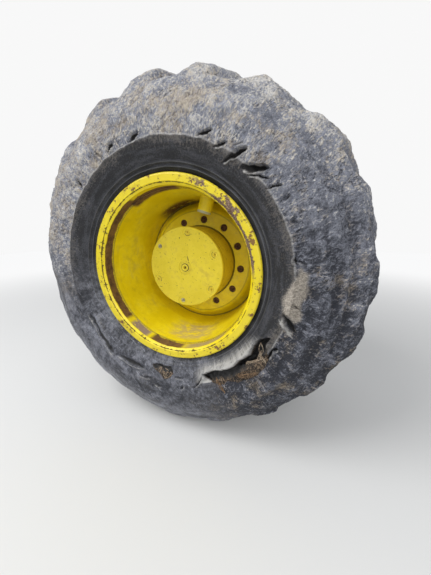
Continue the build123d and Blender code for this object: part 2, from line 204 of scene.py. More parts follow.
tyre_low, tyre_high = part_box("tyre")
tyre_middle = (tyre_low.y + tyre_high.y) / 2
half_width = (tyre_high.y - tyre_low.y) / 2

# The worn outline: a nearly flat crown, a straight shoulder, an arc over the widest place of the
# wall and a flatter one down to the bead.
crown_radius = 0.735
crown_drop = 0.0215
tread_half = 0.2945
widest_radius = 0.540
upper_arc = 0.140
upper_turn = math.radians(33)
lower_radius = 0.374
lower_half = 0.323

# Two rows of nineteen lugs slant away from the tyre's middle, and each row reaches a little over it.
lug_height = 0.030
lug_pitch = math.radians(360 / 19)
lug_lean = math.tan(math.radians(35))
lug_width = 0.104
lug_first = math.radians(21.4)
lug_over = 0.018
lug_flank_in = 0.020
lug_flank_out = 0.014
lug_end_soft = 0.012


def half_section():
    """Points (half width, radius) of the worn outline, from the tread's middle to the bead."""
    crown_arc = (tread_half**2 + crown_drop**2) / (2 * crown_drop)
    across = np.linspace(0, tread_half, 160)
    crown = np.stack([across, crown_radius - crown_arc + np.sqrt(crown_arc**2 - across**2)], 1)
    turn = np.linspace(upper_turn, 0, 40)
    upper = np.stack(
        [half_width - upper_arc * (1 - np.cos(turn)), widest_radius + upper_arc * np.sin(turn)], 1
    )
    wall = crown[-1] + (upper[0] - crown[-1]) * np.linspace(0, 1, 60)[1:-1, None]
    rise = widest_radius - lower_radius
    run = half_width - lower_half
    lower_arc = (rise**2 + run**2) / (2 * run)
    drop = np.linspace(0, rise, 100)[1:]
    lower = np.stack(
        [half_width - lower_arc + np.sqrt(lower_arc**2 - drop**2), widest_radius - drop], 1
    )
    line = np.concatenate([crown, wall, upper, lower])
    steps = np.concatenate([[0], np.cumsum(np.linalg.norm(np.diff(line, axis=0), axis=1))])
    fine_step = 0.001
    even = np.arange(0, steps[-1], fine_step)
    line = np.stack([np.interp(even, steps, line[:, k]) for k in (0, 1)], 1)

    # A weighted mean along the line rounds the shoulder off, and leaves the bead as it is.
    reach = 60
    spread = 14
    mirrored = np.concatenate([line[reach:0:-1] * (-1, 1), line, np.repeat(line[-1:], reach, 0)])
    weight = np.exp(-0.5 * (np.arange(-reach, reach + 1) / spread) ** 2)
    weight /= weight.sum()
    smooth = np.stack([np.convolve(mirrored[:, k], weight, "valid") for k in (0, 1)], 1)
    near_bead = between(even, even[-1] - 0.10, even[-1] - 0.04)[:, None]
    return even, smooth * (1 - near_bead) + line * near_bead


def spaced(stretches):
    """Places along a line whose spacing changes: rows of (start, end, spacing)."""
    return np.concatenate([np.arange(start, end - step * 0.4, step) for start, end, step in stretches])


section_steps, section = half_section()
half_length = section_steps[-1]
front_edge = 0.46
rear_wall = half_length + 0.36

# Rows of points go from the front bead over the crown to the rear bead, and columns once round the
# wheel. They are closest where the outer wall is torn.
rows = np.concatenate(
    [
        spaced(
            [
                (0, 0.030, 0.003),
                (0.030, 0.150, 0.0032),
                (0.150, 0.330, 0.0052),
                (0.330, front_edge, 0.0048),
                (front_edge, rear_wall, 0.010),
                (rear_wall, 2 * half_length, 0.022),
            ]
        ),
        [2 * half_length],
    ]
)
side = np.where(rows <= half_length, -1.0, 1.0)
from_crown = np.abs(half_length - rows)
row_half = np.interp(from_crown, section_steps, section[:, 0])
row_radius = np.interp(from_crown, section_steps, section[:, 1])
slope_half = np.gradient(section[:, 0], section_steps)
slope_radius = np.gradient(section[:, 1], section_steps)
normal_half = np.interp(from_crown, section_steps, -slope_radius)
normal_radius = np.interp(from_crown, section_steps, slope_half)
columns = np.radians(spaced([(-78, -18, 0.36), (-18, 30, 0.52), (30, 76, 0.38), (76, 282, 0.56)]))

angle, across = np.meshgrid(columns, side * row_half)
radius = np.repeat(row_radius[:, None], len(columns), 1)
along_row = np.repeat(rows[:, None], len(columns), 1)
front = (across < 0).astype(float)
seen_x = radius * np.cos(angle)
seen_z = radius * np.sin(angle)


def field(around, out, amount, seed, octaves):
    """Smooth noise over the tyre in metres of height. Around and out are its waves a metre."""
    mean_radius = 0.55
    x = np.cos(angle) * mean_radius * around
    z = np.sin(angle) * mean_radius * around
    points = np.stack([x, along_row * out + seed, z], -1)
    values = [noise.fractal(p, 0.9, 2.0, octaves) for p in map(tuple, points.reshape(-1, 3))]
    return np.array(values).reshape(radius.shape) * amount


def towards(degrees, low, high):
    """1 on the side of the wheel at an angle, 0 away from it. Low and high are cosines."""
    return between(np.cos(angle - math.radians(degrees)), low, high)


def lug_share(across, angle, turn):
    """1 on the lugs of one row, 0 in the grooves between them, with worn, rounded flanks."""
    bar_middle = (-half_width + lug_over) / 2
    shift = -(across - bar_middle) * lug_lean
    first = lug_first - math.atan((tread_half + bar_middle) * lug_lean / (crown_radius - crown_drop))
    place = (angle - first - turn - shift / radius) / lug_pitch
    off = np.abs(place - np.round(place)) * lug_pitch * radius * math.cos(math.atan(lug_lean))
    body = 1 - between(off, lug_width / 2 - lug_flank_in, lug_width / 2 + lug_flank_out)
    return body * (1 - between(across, lug_over - lug_end_soft, lug_over + lug_end_soft))


# Height gathers how far the worn face stands off the outline. A second field gathers how much its tops
# are rubbed pale, and also carries painted shade in the tread's grooves and painted light and shade on
# the folds and swells.
ripple_height = 0.0042
grit_height = 0.0022
waves = field(6.0, 6.0, 0.009, 3.1, 3)
ripples = field(24.0, 20.0, ripple_height, 7.7, 5)
grit = field(80.0, 80.0, grit_height, 1.3, 2)
edge_wear = field(12.0, 12.0, 0.011, 5.2, 4)
rubbed_tops_and_shade = np.clip(0.5 + ripples / ripple_height * 0.5 + grit / grit_height * 0.6, 0, 1)

# The grooves are deep at the upper left and worn shallow at the right.
upper_left = towards(125, 0.15, 0.80)
groove_depth = lug_height * (0.46 + 0.54 * upper_left)
groove_foot = 0.680 - 0.030 * upper_left
groove_rise = 0.034
wobble = edge_wear * 0.8 / radius
front_lugs = lug_share(across, angle + wobble, 0.0)
rear_lugs = lug_share(-across, angle + wobble, lug_pitch / 2)
lugs = np.maximum(front_lugs, rear_lugs)
tread = between(radius, groove_foot, groove_foot + groove_rise)
height = -groove_depth * tread * (1 - lugs)
# Painted shade: the grooves' floors are painted darker than the lugs.
rubbed_tops_and_shade = rubbed_tops_and_shade - 0.55 * tread * (1 - lugs)

# Above a ragged ring the outer wall is ground rough, a few millimetres into the rubber. At the
# lower left it has worn smooth again.
ground_depth = 0.004
wall_edge = 0.473 + edge_wear * 0.45
abraded = between(radius, wall_edge - 0.0025, wall_edge + 0.0025)
abraded = np.where(across < 0, abraded, between(radius, 0.560, 0.640))
height = height - ground_depth * abraded
height = height + (waves - ground_depth) * between(radius, 0.46, 0.56)
smooth_low = towards(238, 0.35, 0.75)
smooth_low = smooth_low * between(edge_wear * 5.0 - across, 0.05, 0.24)
rough = 0.07 + 0.93 * abraded * (1 - 0.5 * tread * (1 - lugs)) * (1 - 0.7 * smooth_low)
height = height + (ripples + grit) * rough

# Two fine rings are moulded round the wall beside the rim.
ring_width = 0.0028
for ring_radius, ring_height in ((0.384, 0.0042), (0.398, 0.0034)):
    height = height + ring_height * np.exp(-(((radius - ring_radius) / ring_width) ** 2))

# At the right the wall lies in long soft folds, one behind the other.
fold_pitch = 0.062
fold_height = 0.0050
fold_place = radius + 0.022 * np.cos(angle * 2.2) + waves * 3.2
folds = np.sin((fold_place - 0.50) * math.tau / fold_pitch)
fold_share = towards(-16, 0.62, 0.95) * between(radius, 0.50, 0.54)
fold_share = fold_share * (1 - between(radius, 0.64, 0.69)) * front
height = height + folds * fold_height * fold_share
# Painted light and shade: the folds' crests are painted paler and their troughs darker.
rubbed_tops_and_shade = np.clip(rubbed_tops_and_shade + folds * fold_share * 0.28, 0, 1)


def flat(corner_radius, corner_angle):
    """Where a radius and an angle in degrees lie, seen along the axle."""
    turn = math.radians(corner_angle)
    return corner_radius * math.cos(turn), corner_radius * math.sin(turn)


def inside(corners, soft):
    """1 inside a torn outline on the outer wall, 0 outside. Corners are (radius, angle)."""
    x = seen_x + ripples * 0.8
    z = seen_z + grit * 1.6
    ends = [flat(*corner) for corner in corners]
    nearest = np.full(x.shape, 1.0)
    # A point is inside where a line from it to the right crosses the outline an odd number of times.
    odd = np.zeros(x.shape, bool)
    for (x0, z0), (x1, z1) in zip(ends, ends[1:] + ends[:1]):
        share = ((x - x0) * (x1 - x0) + (z - z0) * (z1 - z0)) / ((x1 - x0) ** 2 + (z1 - z0) ** 2)
        share = np.clip(share, 0, 1)
        nearest = np.minimum(nearest, np.hypot(x - x0 - share * (x1 - x0), z - z0 - share * (z1 - z0)))
        if z1 != z0:
            odd ^= ((z0 > z) != (z1 > z)) & (x < x0 + (z - z0) * (x1 - x0) / (z1 - z0))
    return between(np.where(odd, nearest, -nearest), -soft, soft) * front


def slash(start, end, width):
    """A pointed cut between two places (radius, angle): its depth's share and its lower edge."""
    (x0, z0), (x1, z1) = flat(*start), flat(*end)
    x = seen_x - x0
    z = seen_z - z0
    length = math.hypot(x1 - x0, z1 - z0)
    down = 1.0 if x1 > x0 else -1.0
    lengthwise = (x * (x1 - x0) + z * (z1 - z0)) / length**2
    crosswise = down * (x * (z1 - z0) - z * (x1 - x0)) / length + ripples * 1.6
    reach = np.clip(1 - (2 * lengthwise - 1) ** 2, 0, 1)
    half = width / 2
    share = np.clip(1 - (crosswise / (half * (reach**0.6 + 0.05))) ** 2, 0, 1) * reach**0.4
    edge_gap = 0.002
    edge_width = 0.0032
    below = np.exp(-(((crosswise - half * reach - edge_gap) / edge_width) ** 2))
    return share * front, below * between(reach, 0.1, 0.6) * front


# The long gash under the rim. Its floor is a shallow dusty pocket that ends in a deep hole, and
# the smooth wall stands up in a scratched flap along the side by the rim. A smaller hole is torn
# near the bottom.
gash = inside(
    (
        (0.432, -69.3), (0.425, -63.1), (0.437, -54.8), (0.438, -50.6), (0.433, -45.6), (0.438, -39.1),
        (0.424, -35.0), (0.429, -29.6), (0.451, -25.8), (0.451, -29.9), (0.469, -31.9), (0.491, -34.5),
        (0.503, -37.4), (0.507, -42.1), (0.500, -48.2), (0.494, -52.9), (0.476, -57.8), (0.487, -59.6),
        (0.469, -64.7), (0.449, -66.9),
    ),
    0.0020,
)
hole = inside(
    (
        (0.426, -35.2), (0.422, -31.9), (0.441, -27.3), (0.452, -26.0), (0.453, -29.2), (0.456, -33.4),
        (0.462, -38.2), (0.453, -42.8), (0.444, -46.4), (0.439, -49.5), (0.434, -45.0), (0.438, -38.8),
    ),
    0.0025,
)
torn_hole = inside(
    (
        (0.422, -102.8), (0.408, -99.5), (0.413, -95.5), (0.409, -90.9), (0.429, -88.6), (0.450, -89.8),
        (0.464, -93.7), (0.445, -96.4), (0.435, -100.9),
    ),
    0.0020,
)
flap_height = 0.011
pocket_depth = 0.005
undercut_depth = 0.014
hole_depth = 0.022
torn_hole_depth = 0.012
gash_middle = math.radians(-52)
gash_side = np.abs(np.angle(np.exp(1j * (angle - gash_middle))))
flap = between(radius, 0.394, 0.432) * between(gash_side, 0.36, 0.27) * between(radius, 0.452, 0.444)
height = height + flap_height * flap * front * (1 - gash)
under_flap = np.clip((0.503 - radius) / 0.062, 0.12, 1)
height = height - gash * (pocket_depth + undercut_depth * under_flap + ripples * 1.5)
height = height - hole * hole_depth - torn_hole * (torn_hole_depth + ripples * 2)

# Smaller cuts, each with its ends as (radius, angle), its width and its depth. Where the depth is
# below nothing the wall swells instead.
cuts = (
    ((0.474, 72.6), (0.505, 66.5), 0.014, 0.013),
    ((0.462, 64.4), (0.489, 59.7), 0.014, 0.011),
    ((0.489, 57.7), (0.514, 54.0), 0.008, 0.007),
    ((0.433, 58.4), (0.474, 56.3), 0.011, 0.012),
    ((0.460, 57.2), (0.506, 51.8), 0.023, 0.022),
    ((0.450, 50.4), (0.513, 42.8), 0.027, 0.025),
    ((0.453, 47.3), (0.496, 39.2), 0.010, 0.010),
    ((0.469, 38.5), (0.513, 34.5), 0.012, 0.011),
    ((0.493, 30.9), (0.519, 31.1), 0.009, 0.008),
    ((0.486, 24.0), (0.512, 21.5), 0.008, 0.006),
    ((0.474, 104.2), (0.498, 98.2), 0.020, 0.013),
    ((0.505, 111.4), (0.482, 115.8), 0.019, 0.012),
    ((0.518, 135.7), (0.473, 137.9), 0.015, 0.010),
    ((0.535, 121.3), (0.475, 119.0), 0.009, 0.007),
    ((0.482, -75.9), (0.437, -69.4), 0.007, 0.010),
    ((0.488, -34.8), (0.481, -29.4), 0.014, 0.020),
    ((0.480, -30.2), (0.493, -27.6), 0.012, 0.016),
    ((0.498, -108.6), (0.479, -100.7), 0.008, 0.008),
    ((0.493, -98.8), (0.503, -94.1), 0.011, 0.008),
    ((0.444, -87.7), (0.448, -81.3), 0.008, 0.007),
    ((0.492, -84.4), (0.472, -81.4), 0.010, 0.009),
    ((0.455, -13.4), (0.519, -19.0), 0.026, 0.020),
    ((0.471, -7.6), (0.505, -9.7), 0.007, 0.008),
    ((0.475, 10.8), (0.478, 6.6), 0.008, 0.009),
    ((0.477, 9.1), (0.508, 6.8), 0.008, 0.008),
    ((0.495, -158.3), (0.484, -153.2), 0.007, 0.006),
    ((0.434, -153.0), (0.489, -127.0), 0.034, -0.012),
    ((0.464, -156.0), (0.492, -122.0), 0.024, 0.009),
    ((0.476, -126.0), (0.452, -104.0), 0.024, 0.009),
    ((0.508, -150.0), (0.516, -112.0), 0.034, -0.009),
    ((0.488, -128.0), (0.490, -121.0), 0.016, -0.008),
    ((0.601, 6.5), (0.578, -2.0), 0.030, -0.006),
    ((0.583, -2.5), (0.606, -18.0), 0.034, -0.008),
    ((0.543, -12.0), (0.560, -20.5), 0.024, -0.007),
)
# Painted shade: the deep holes, the gash's floor under the flap and the insides of the cuts are marked to
# be painted nearly black.
hollow_shade = np.maximum(hole, gash * between(radius + ripples * 4, 0.488, 0.444))
hollow_shade = np.maximum(hollow_shade, torn_hole * between(radius + ripples * 5, 0.432, 0.418))
# Painted highlight: the upward-facing lower lips of the cuts are painted pale.
cut_lip_highlights = np.zeros_like(radius)
edge_height = 0.004
for start, end, width, cut_depth in cuts:
    share, below = slash(start, end, width)
    height = height - cut_depth * share
    if cut_depth > 0:
        height = height + below * min(cut_depth * 0.30, edge_height)
        hollow_shade = np.maximum(hollow_shade, between(share, 0.25, 0.95) * min(1.0, cut_depth / 0.011))
        cut_lip_highlights = np.maximum(cut_lip_highlights, below * min(1.0, cut_depth / 0.012))
    else:
        # Painted highlight: a swell is painted paler.
        rubbed_tops_and_shade = np.clip(rubbed_tops_and_shade + share * 0.55, 0, 1)

# A plain ring stands out of the smooth wall at the right.
plain_ring_radius = 0.017
plain_ring_height = 0.0018
ring_x, ring_z = flat(0.422, 14.4)
ring_off = np.abs(np.hypot(seen_x - ring_x, seen_z - ring_z) - plain_ring_radius)
height = height + plain_ring_height * (1 - between(ring_off, 0.0015, 0.004)) * front

# The shoulder stands a little fuller at the right, and nothing reaches past the tyre's box.
fullness = 0.014
skin = 0.0003
fuller = towards(4, 0.70, 0.95) * between(radius, 0.64, 0.70)
height = height + fullness * fuller * front
worn_radius = np.minimum(radius + height * normal_radius[:, None], crown_radius - skin)
worn_half = np.minimum(np.abs(across) + height * normal_half[:, None], half_width - skin)
worn_half = worn_half * np.where(across < 0, -1.0, 1.0)

# The beads go on behind the flanges, and the hollow inside closes the carcass.
inner_line = np.array(
    (
        (0.3195, 0.3705),
        (0.3168, 0.3660),
        (0.3165, 0.3500),
        (0.3000, 0.3450),
        (0.3000, 0.4000),
        (0.3450, 0.5400),
        (0.3300, 0.6200),
        (0.2600, 0.6650),
        (0.0000, 0.6800),
    )
)
hidden = np.concatenate([inner_line, inner_line[-2:1:-1] * (-1, 1)])
front_bead = inner_line[2::-1] * (-1, 1)


def rings(line):
    """The points of (half width, radius) rows, carried round the wheel at every column."""
    half = np.repeat(line[:, :1], len(columns), 1)
    out = line[:, 1:]
    return np.stack([out * np.cos(columns), tyre_middle + half, out * np.sin(columns)], -1)


outside = np.stack(
    [worn_radius * np.cos(angle), tyre_middle + worn_half, worn_radius * np.sin(angle)], -1
)
loop = np.concatenate([rings(front_bead), outside, rings(hidden)])
along = np.roll(loop, -1, 0) - np.roll(loop, 1, 0)
around = np.roll(loop, -1, 1) - np.roll(loop, 1, 1)
loop_normals = np.cross(along, around)
loop_normals /= np.linalg.norm(loop_normals, axis=2, keepdims=True) + 1e-12


def grid_faces(count_rows, count_columns):
    """Quads between rows of points that each go once round the wheel."""
    row = np.repeat(np.arange(count_rows - 1), count_columns)
    column = np.tile(np.arange(count_columns), count_rows - 1)
    after = (column + 1) % count_columns
    corners = ((row, column), (row + 1, column), (row + 1, after), (row, after))
    return np.stack([r * count_columns + c for r, c in corners], 1)


def mesh_piece(name, points, faces, finish, body=None):
    """A mesh of the given points and faces in one finish, which moves with a body."""
    mesh = bpy.data.meshes.new(name)
    mesh.from_pydata(np.asarray(points).reshape(-1, 3).tolist(), [], np.asarray(faces).tolist())
    mesh.polygons.foreach_set("use_smooth", [True] * len(mesh.polygons))
    mesh.materials.append(finish.material)
    mesh.update()
    piece = bpy.data.objects.new(name, mesh)
    bpy.context.scene.collection.objects.link(piece)
    if body:
        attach(piece, body)
    return piece


def layered(*channels):
    """Three fields as the colours of the loop's points, with nothing on the hidden rows."""
    values = np.zeros(loop.shape[:2] + (4,), np.float32)
    values[len(front_bead):len(front_bead) + len(rows), :, :3] = np.stack(channels, -1)
    values[..., 3] = 1.0
    return values


# What the rubber's colours need: where the wall is scraped pale, muddy, or torn to its cords, and painted
# highlights along the worn wall's edge and the lower lips of the cuts.
scraped_and_highlit = between(radius, 0.362, 0.440) * between(gash_side, 0.50, 0.22) * (radius < 0.462)
scraped_and_highlit = scraped_and_highlit * (1 - gash) * front
# Painted highlight: a pale line along the edge of the ground wall, where its step faces up.
edge_highlight = np.exp(-(((radius - wall_edge - 0.0015) / 0.0035) ** 2)) * front * (1 - smooth_low)
white_lip = slash((0.448, -15.6), (0.516, -20.8), 0.017)[0]
scraped_and_highlit = np.maximum(np.maximum(scraped_and_highlit, edge_highlight * 0.62), cut_lip_highlights * 0.8)
scraped_and_highlit = np.maximum(scraped_and_highlit, white_lip)
muddy = inside(
    (
        (0.492, 6.2), (0.516, 3.9), (0.512, -2.7), (0.502, -7.2), (0.514, -13.4), (0.495, -15.2),
        (0.457, -11.6), (0.445, -7.0), (0.463, -0.9), (0.481, 3.1),
    ),
    0.020,
)
bare_cords = np.maximum(gash, torn_hole)

rubber = Finish("worn rubber")
# The wear layer holds the ground wall, the hollows' painted shade and the rubbed tops with their painted
# light and shade.
wear_and_shade = layered(abraded * (1 - 0.85 * smooth_low), hollow_shade, rubbed_tops_and_shade)
# The damage layer holds the bared cords, the scrapes with their painted highlights, and the mud.
damage_and_highlights = layered(bare_cords, scraped_and_highlit, muddy)
seam = len(front_bead) + int(np.searchsorted(rows, front_edge))

# Two meshes share the loop's rows: the outer wall with its shoulder, and all the rest.
pieces = (
    ("tyre_wall", np.arange(seam + 1)),
    ("tyre_tread", np.append(np.arange(seam, len(loop)), 0)),
)
for name, own_rows in pieces:
    faces = grid_faces(len(own_rows), len(columns))
    tyre = mesh_piece(name, loop[own_rows], faces, rubber, "wheel")
    for layer_name, values in (("wear_and_shade", wear_and_shade), ("damage_and_highlights", damage_and_highlights)):
        layer = tyre.data.attributes.new(layer_name, "FLOAT_COLOR", "POINT")
        layer.data.foreach_set("color", values[own_rows].reshape(-1))
    own_normals = loop_normals[own_rows].reshape(-1, 3).tolist()
    tyre.data.normals_split_custom_set_from_vertices(own_normals)
    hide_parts("tyre")

# Ground rubber: pale fibres and grains over grey, browned by earth, with painted light and shade by side.
ground_off, hollow_shade_mark, raised_tops_and_shade = rubber.marks("wear_and_shade")
torn, scratched_and_highlit, mud = rubber.marks("damage_and_highlights")
patches = rubber.noise(6.0, 5.0, 0.62)
clouds = rubber.noise(17.0, 4.0, 0.6, shift=4.0)
outward = rubber.streaks(92.0, 62.0, 3.0, 0.6, shift=1.0)
slanting = rubber.noise(168.0, 3.0, 0.6, (1.0, 1.0, 2.4), turn=38)
fibres = outward.larger(slanting).ease(0.44, 0.74)
specks = rubber.noise(240.0, 3.0, 0.75, shift=2.0)
wandering = rubber.noise(34.0, 4.0, 0.6, (1.0, 1.0, 2.2), turn=50, shift=12.0)
# Painted shade: crease lines are painted darker.
creases = rubber.math("ABSOLUTE", wandering - 0.5).ease(0.016, 0.0) * clouds.ease(0.44, 0.58)
# Painted light and shade: the upper side is painted paler, with a little more earth there, and the lower
# side and the lower right are painted darker.
upper_side_light_and_earth = rubber.arc(45, 180, 50)
lower_side_shade = rubber.arc(-125, 15, 40)
low_left = rubber.arc(-172, -66, 26) * rubber.y.ease(-0.08, -0.30)
low_right_shade = rubber.arc(-78, -8, 24)
# Painted highlight: pale strips round the wall at the right.
highlight_strips = rubber.streaks(24.0, 7.0, 3.0, 0.55, shift=6.0).ease(0.54, 0.68)
highlight_strips = highlight_strips * rubber.arc(-70, 20, 16)
# Painted light: the tread's face past the shoulder at the right is painted paler where it turns towards
# the lamp, with some wear.
shoulder_y = tyre_low.y + 0.050
shoulder_end = (rubber.y + (clouds - 0.5) * 0.08).ease(shoulder_y, shoulder_y + 0.013)
past_shoulder_light = shoulder_end * rubber.radius.ease(0.62, 0.64) * rubber.arc(-2, 78, 10)
pale = raised_tops_and_shade * 0.36 + fibres * 0.46 + specks * 0.90 + patches * 0.26 + clouds * 0.16
pale = pale + past_shoulder_light * 0.20 + upper_side_light_and_earth * 0.29 + highlight_strips * 0.24
pale = pale - lower_side_shade * 0.19 - low_right_shade * 0.10 - creases * 0.46
outer = pale.ease(0.58, 1.24).mix(paint(46, 48, 56), paint(134, 137, 148))
outer = pale.ease(1.12, 1.58).mix(outer, paint(216, 212, 206))
earth = (patches * 0.7 + clouds * 0.8 + fibres * 0.20 + upper_side_light_and_earth * 0.10).ease(0.84, 1.14)
outer = (earth * 0.58).mix(outer, paint(184, 166, 138))

# Rubber that isn't ground off: nearly black by the rim, and slate grey, smeared and scratched, at
# the lower left.
near_edge = rubber.radius.ease(0.405, 0.480)
round_streaks = rubber.streaks(4.0, 96.0, 3.0, 0.55)
smears = rubber.streaks(9.0, 24.0, 5.0, 0.65, shift=3.0)
scuffs = (round_streaks * 0.9 + specks * 0.9 + clouds * 0.3).ease(0.94, 1.28)
inner = scuffs.mix(paint(18, 19, 24), paint(60, 61, 67))
rubbed = (fibres * 0.34 + specks * 0.9 + near_edge * 0.5 + clouds * 0.6).ease(1.12, 1.50)
inner = (rubbed * 0.45).mix(inner, paint(118, 111, 102))
outer_low = rubber.radius.ease(0.56, 0.66)
long_smears = rubber.streaks(2.2, 17.0, 3.0, 0.5, shift=8.0)
long_scratches = rubber.noise(150.0, 3.0, 0.7, (1.0, 1.0, 11.0), turn=-42, shift=6.0).ease(0.60, 0.70)
slate = smears * 0.5 + long_smears * 0.9 + specks * 0.9 + raised_tops_and_shade * 0.40
slate = slate + outer_low * 0.18 + long_scratches * 0.42
slate = slate.ease(1.02, 2.08).mix(paint(22, 24, 33), paint(148, 150, 160))
inner = low_left.mix(inner, slate)
# Painted highlight: the crests of the two moulded rings are painted pale.
ring_crest_highlights = rubber.ring(0.3835, 0.3845, 0.0012).larger(rubber.ring(0.3975, 0.3985, 0.0012) * 0.6)
inner = (ring_crest_highlights * 0.55).mix(inner, paint(132, 132, 128))
rubber_colour = ground_off.mix(inner, outer)

# Scrapes and painted highlights, dried mud, earth in the torn places and painted shade in the deepest
# cuts and holes lie over both.
scrape_lines = rubber.noise(120.0, 4.0, 0.7, (1.0, 1.0, 7.0), turn=25)
scrape_lines = scrape_lines.larger(rubber.streaks(70.0, 12.0, 3.0, 0.7, shift=5.0))
# The painted highlights along the worn edge and the cuts' lips share the pale scrape colour.
scrape_and_highlight = (scratched_and_highlit * (scrape_lines * 2.8 - 0.52)).ease(0.12, 1.05)
rubber_colour = (scrape_and_highlight * 0.9).mix(rubber_colour, paint(182, 180, 176))
mud_colour = (specks * 0.6 + fibres * 0.25).ease(0.12, 0.56).mix(paint(104, 98, 91), paint(180, 171, 158))
rubber_colour = (mud * (specks * 0.6 + clouds * 1.1)).ease(0.15, 0.75).mix(rubber_colour, mud_colour)
earth_in_gash = (fibres * 0.4 + specks * 0.9).ease(0.44, 0.86).mix(paint(34, 29, 26), paint(138, 118, 96))
rubber_colour = torn.ease(0.35, 0.65).mix(rubber_colour, earth_in_gash)
# Painted shade in the holes, under the flap and in the cuts.
rubber_colour = hollow_shade_mark.ease(0.25, 0.90).mix(rubber_colour, paint(20, 19, 19))
rubber.set("Base Color", rubber_colour)
sheen = low_left * (1.0 - ground_off)
rubber.set("Roughness", 0.50 + ground_off * 0.32 + smears * 0.10 - sheen * 0.14)
coarse_bump = rubber.bump(fibres + clouds * 0.9 - creases * 0.9, 0.0048, 0.2 + ground_off * 0.8)
rubber.set("Normal", rubber.bump(specks + round_streaks * 0.4, 0.0026, 0.8, coarse_bump))

# Torn carcass: layers of nylon cord are moulded into the rubber, from bead to bead, and the tears
# have laid them bare. Pale ones stand in both holes, and brown ones hang over the gash's edge.


def wall_point(out, turn, sink):
    """A point on the outer wall at a radius and an angle in degrees, sunk inwards by a length."""
    half = np.interp(out, row_radius[side < 0], row_half[side < 0])
    x, z = flat(out, turn)
    return Vector((x, tyre_middle - half + sink, z))


def strand(route, thick, thin):
    """Points and faces of one tapering cord that follows a smooth line of points."""
    sides = 5
    rings_made = []
    for index, here in enumerate(route):
        ahead = route[min(index + 1, len(route) - 1)] - route[max(index - 1, 0)]
        turn = ahead.to_track_quat("Z", "Y")
        wide = thick + (thin - thick) * index / (len(route) - 1)
        for step in range(sides):
            spoke = math.tau * step / sides
            rings_made.append(here + turn @ Vector((wide * math.cos(spoke), wide * math.sin(spoke), 0)))
    quads = [
        (
            ring * sides + step,
            ring * sides + (step + 1) % sides,
            (ring + 1) * sides + (step + 1) % sides,
            (ring + 1) * sides + step,
        )
        for ring in range(len(route) - 1)
        for step in range(sides)
    ]
    return rings_made, quads


def tangle(name, rows_of_cords, finish, seed):
    """One mesh of many cords: rows of (count, start, end, spread, sag, thickness).

    An end is its radius, its angle in degrees and its depth below the wall.
    """
    cord_margin = 0.002
    chance = np.random.default_rng(seed)
    points, faces = [], []
    for count, start, end, spread, sag, thickness in rows_of_cords:
        for _ in range(count):
            shift = chance.normal(0, spread, (3, 2))
            first = wall_point(start[0] + shift[0, 0], start[1] + shift[0, 1] * 100, start[2])
            last = wall_point(end[0] + shift[1, 0], end[1] + shift[1, 1] * 100, end[2])
            bow = Vector((shift[2, 0] * 2.5, shift[2, 1] * 1.5 - abs(shift[2, 0]), -sag))
            route = [first.lerp(last, t) + bow * (4 * t * (1 - t)) for t in np.linspace(0, 1, 9)]
            for place in route:
                place.y = max(place.y, tyre_low.y + cord_margin)
            new_points, new_faces = strand(route, thickness * chance.uniform(0.6, 1.2), thickness * 0.4)
            faces += [tuple(len(points) + corner for corner in face) for face in new_faces]
            points += new_points
    piece = mesh_piece(name, points, faces, finish, "wheel")


nylon = Finish("bared nylon cord")
frayed = nylon.noise(160.0, 3.0, 0.6)
nylon.set("Base Color", frayed.ease(0.35, 0.65).mix(paint(128, 106, 86), paint(198, 182, 158)))
nylon.set("Roughness", 0.9)
nylon.set("Normal", nylon.bump(frayed, 0.001, 0.5))
tangle(
    "bared_cords",
    (
        (2, (0.440, -31, 0.012), (0.464, -35, 0.005), 0.002, 0.003, 0.0009),
        (5, (0.456, -44, 0.010), (0.478, -36, 0.001), 0.004, 0.002, 0.0010),
        (4, (0.464, -36, 0.010), (0.492, -35.5, -0.001), 0.003, 0.003, 0.0011),
        (3, (0.460, -34, 0.012), (0.488, -38, 0.002), 0.003, 0.003, 0.0009),
        (5, (0.432, -95, 0.008), (0.456, -93, 0.002), 0.005, 0.002, 0.0010),
    ),
    nylon,
    4,
)
stained = Finish("stained nylon cord")
stain = stained.noise(120.0, 3.0, 0.6)
stained.set("Base Color", stain.ease(0.35, 0.65).mix(paint(70, 54, 42), paint(140, 114, 86)))
stained.set("Roughness", 0.95)
stained.set("Normal", stained.bump(stain, 0.001, 0.5))
tangle(
    "hanging_cords",
    (
        (12, (0.455, -62.5, 0.006), (0.512, -60.6, -0.001), 0.0022, 0.001, 0.0013),
        (9, (0.478, -51, 0.008), (0.498, -42, 0.003), 0.004, 0.002, 0.0014),
    ),
    stained,
    7,
)

# Rim: rolled flange sections, a barrel and a dished disc of steel, welded together and sprayed
# yellow. The paint has flaked to rust where the tyre's bead was levered over the flange.


def coat(finish, *names):
    """Gives CAD nodes a finish in place of their plain one."""
    for node_name in names:
        nodes[node_name].data.materials.clear()
        nodes[node_name].data.materials.append(finish.material)


enamel = Finish("rim enamel")
depth = enamel.y - lip_y
front_rim = depth.ease(0.016, 0.012)
on_barrel = enamel.radius.ease(0.333, 0.330)
mottle = enamel.noise(8.0, 5.0, 0.6)
blotch = enamel.noise(26.0, 5.0, 0.65, shift=5.0)
nicks = enamel.noise(75.0, 5.0, 0.7, shift=8.0)
pits = enamel.noise(240.0, 2.0, 0.6, shift=1.0)
brushed = enamel.streaks(7.0, 60.0, 4.0, 0.6)
yellow = mottle.ease(0.35, 0.65).mix(paint(226, 202, 8), paint(242, 222, 30))
face = enamel.ring(lip_radius - 0.029, lip_radius + 0.004, 0.003) * depth.ease(0.020, 0.012)
yellow = (face * 0.75).mix(yellow, paint(212, 192, 40))
grime = (blotch * 0.6 + mottle * 0.6).ease(0.56, 0.82) * 0.35
yellow = grime.mix(yellow, paint(150, 118, 34))
haze = (brushed * 0.6 + mottle * 0.6).ease(0.60, 0.85) * depth.ease(0.02, 0.10) * 0.45
